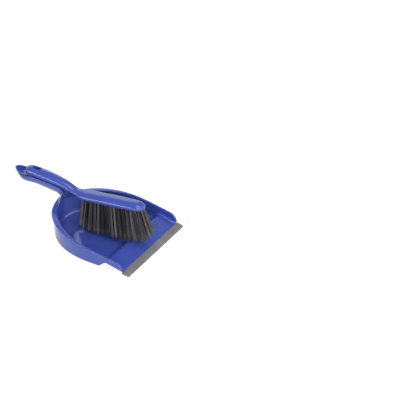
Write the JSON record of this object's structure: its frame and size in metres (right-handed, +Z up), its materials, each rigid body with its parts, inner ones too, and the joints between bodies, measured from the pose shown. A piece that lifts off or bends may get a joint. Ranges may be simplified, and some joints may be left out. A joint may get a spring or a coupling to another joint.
{
  "type": "dust pan and brush set",
  "caption": "Moulded dust pan with a soft rubber lip and a channel handle, and a long tufted hand brush whose handle nests in the channel.",
  "frame": {"origin": "on the ground plane under the middle of the set's overall box", "axes": "+X along the set from the handle end to the rubber lip, +Y across the pan, +Z up"},
  "size_m": [0.356, 0.22, 0.1107],
  "materials": {
    "pan_plastic": "glossy moulded polypropylene, royal blue",
    "brush_plastic": "glossy moulded polypropylene, royal blue",
    "lip_rubber": "matt mid-grey soft rubber",
    "filament": "black crimped plastic filament with a soft sheen",
    "anchor_wire": "bright flat wire"
  },
  "bodies": {
    "dust_pan": {"pan": "pan_plastic", "rubber_lip": "lip_rubber"},
    "hand_brush": {"brush_body": "brush_plastic", "anchors_near": "anchor_wire", "anchors_middle": "anchor_wire", "anchors_far": "anchor_wire", "tuft_near_01": "filament", "tuft_near_02": "filament", "tuft_near_03": "filament", "tuft_near_04": "filament", "tuft_near_05": "filament", "tuft_near_06": "filament", "tuft_near_07": "filament", "tuft_near_08": "filament", "tuft_near_09": "filament", "tuft_near_10": "filament", "tuft_near_11": "filament", "tuft_near_12": "filament", "tuft_near_13": "filament", "tuft_near_14": "filament", "tuft_near_15": "filament", "tuft_middle_01": "filament", "tuft_middle_02": "filament", "tuft_middle_03": "filament", "tuft_middle_04": "filament", "tuft_middle_05": "filament", "tuft_middle_06": "filament", "tuft_middle_07": "filament", "tuft_middle_08": "filament", "tuft_middle_09": "filament", "tuft_middle_10": "filament", "tuft_middle_11": "filament", "tuft_middle_12": "filament", "tuft_middle_13": "filament", "tuft_middle_14": "filament", "tuft_middle_15": "filament", "tuft_far_01": "filament", "tuft_far_02": "filament", "tuft_far_03": "filament", "tuft_far_04": "filament", "tuft_far_05": "filament", "tuft_far_06": "filament", "tuft_far_07": "filament", "tuft_far_08": "filament", "tuft_far_09": "filament", "tuft_far_10": "filament", "tuft_far_11": "filament", "tuft_far_12": "filament", "tuft_far_13": "filament", "tuft_far_14": "filament", "tuft_far_15": "filament"}
  },
  "joints": [
    {"name": "brush_lift", "type": "slide", "parent": "dust_pan", "child": "hand_brush", "axis": [0, 0, 1], "range_m": [0, 0.12]}
  ]
}
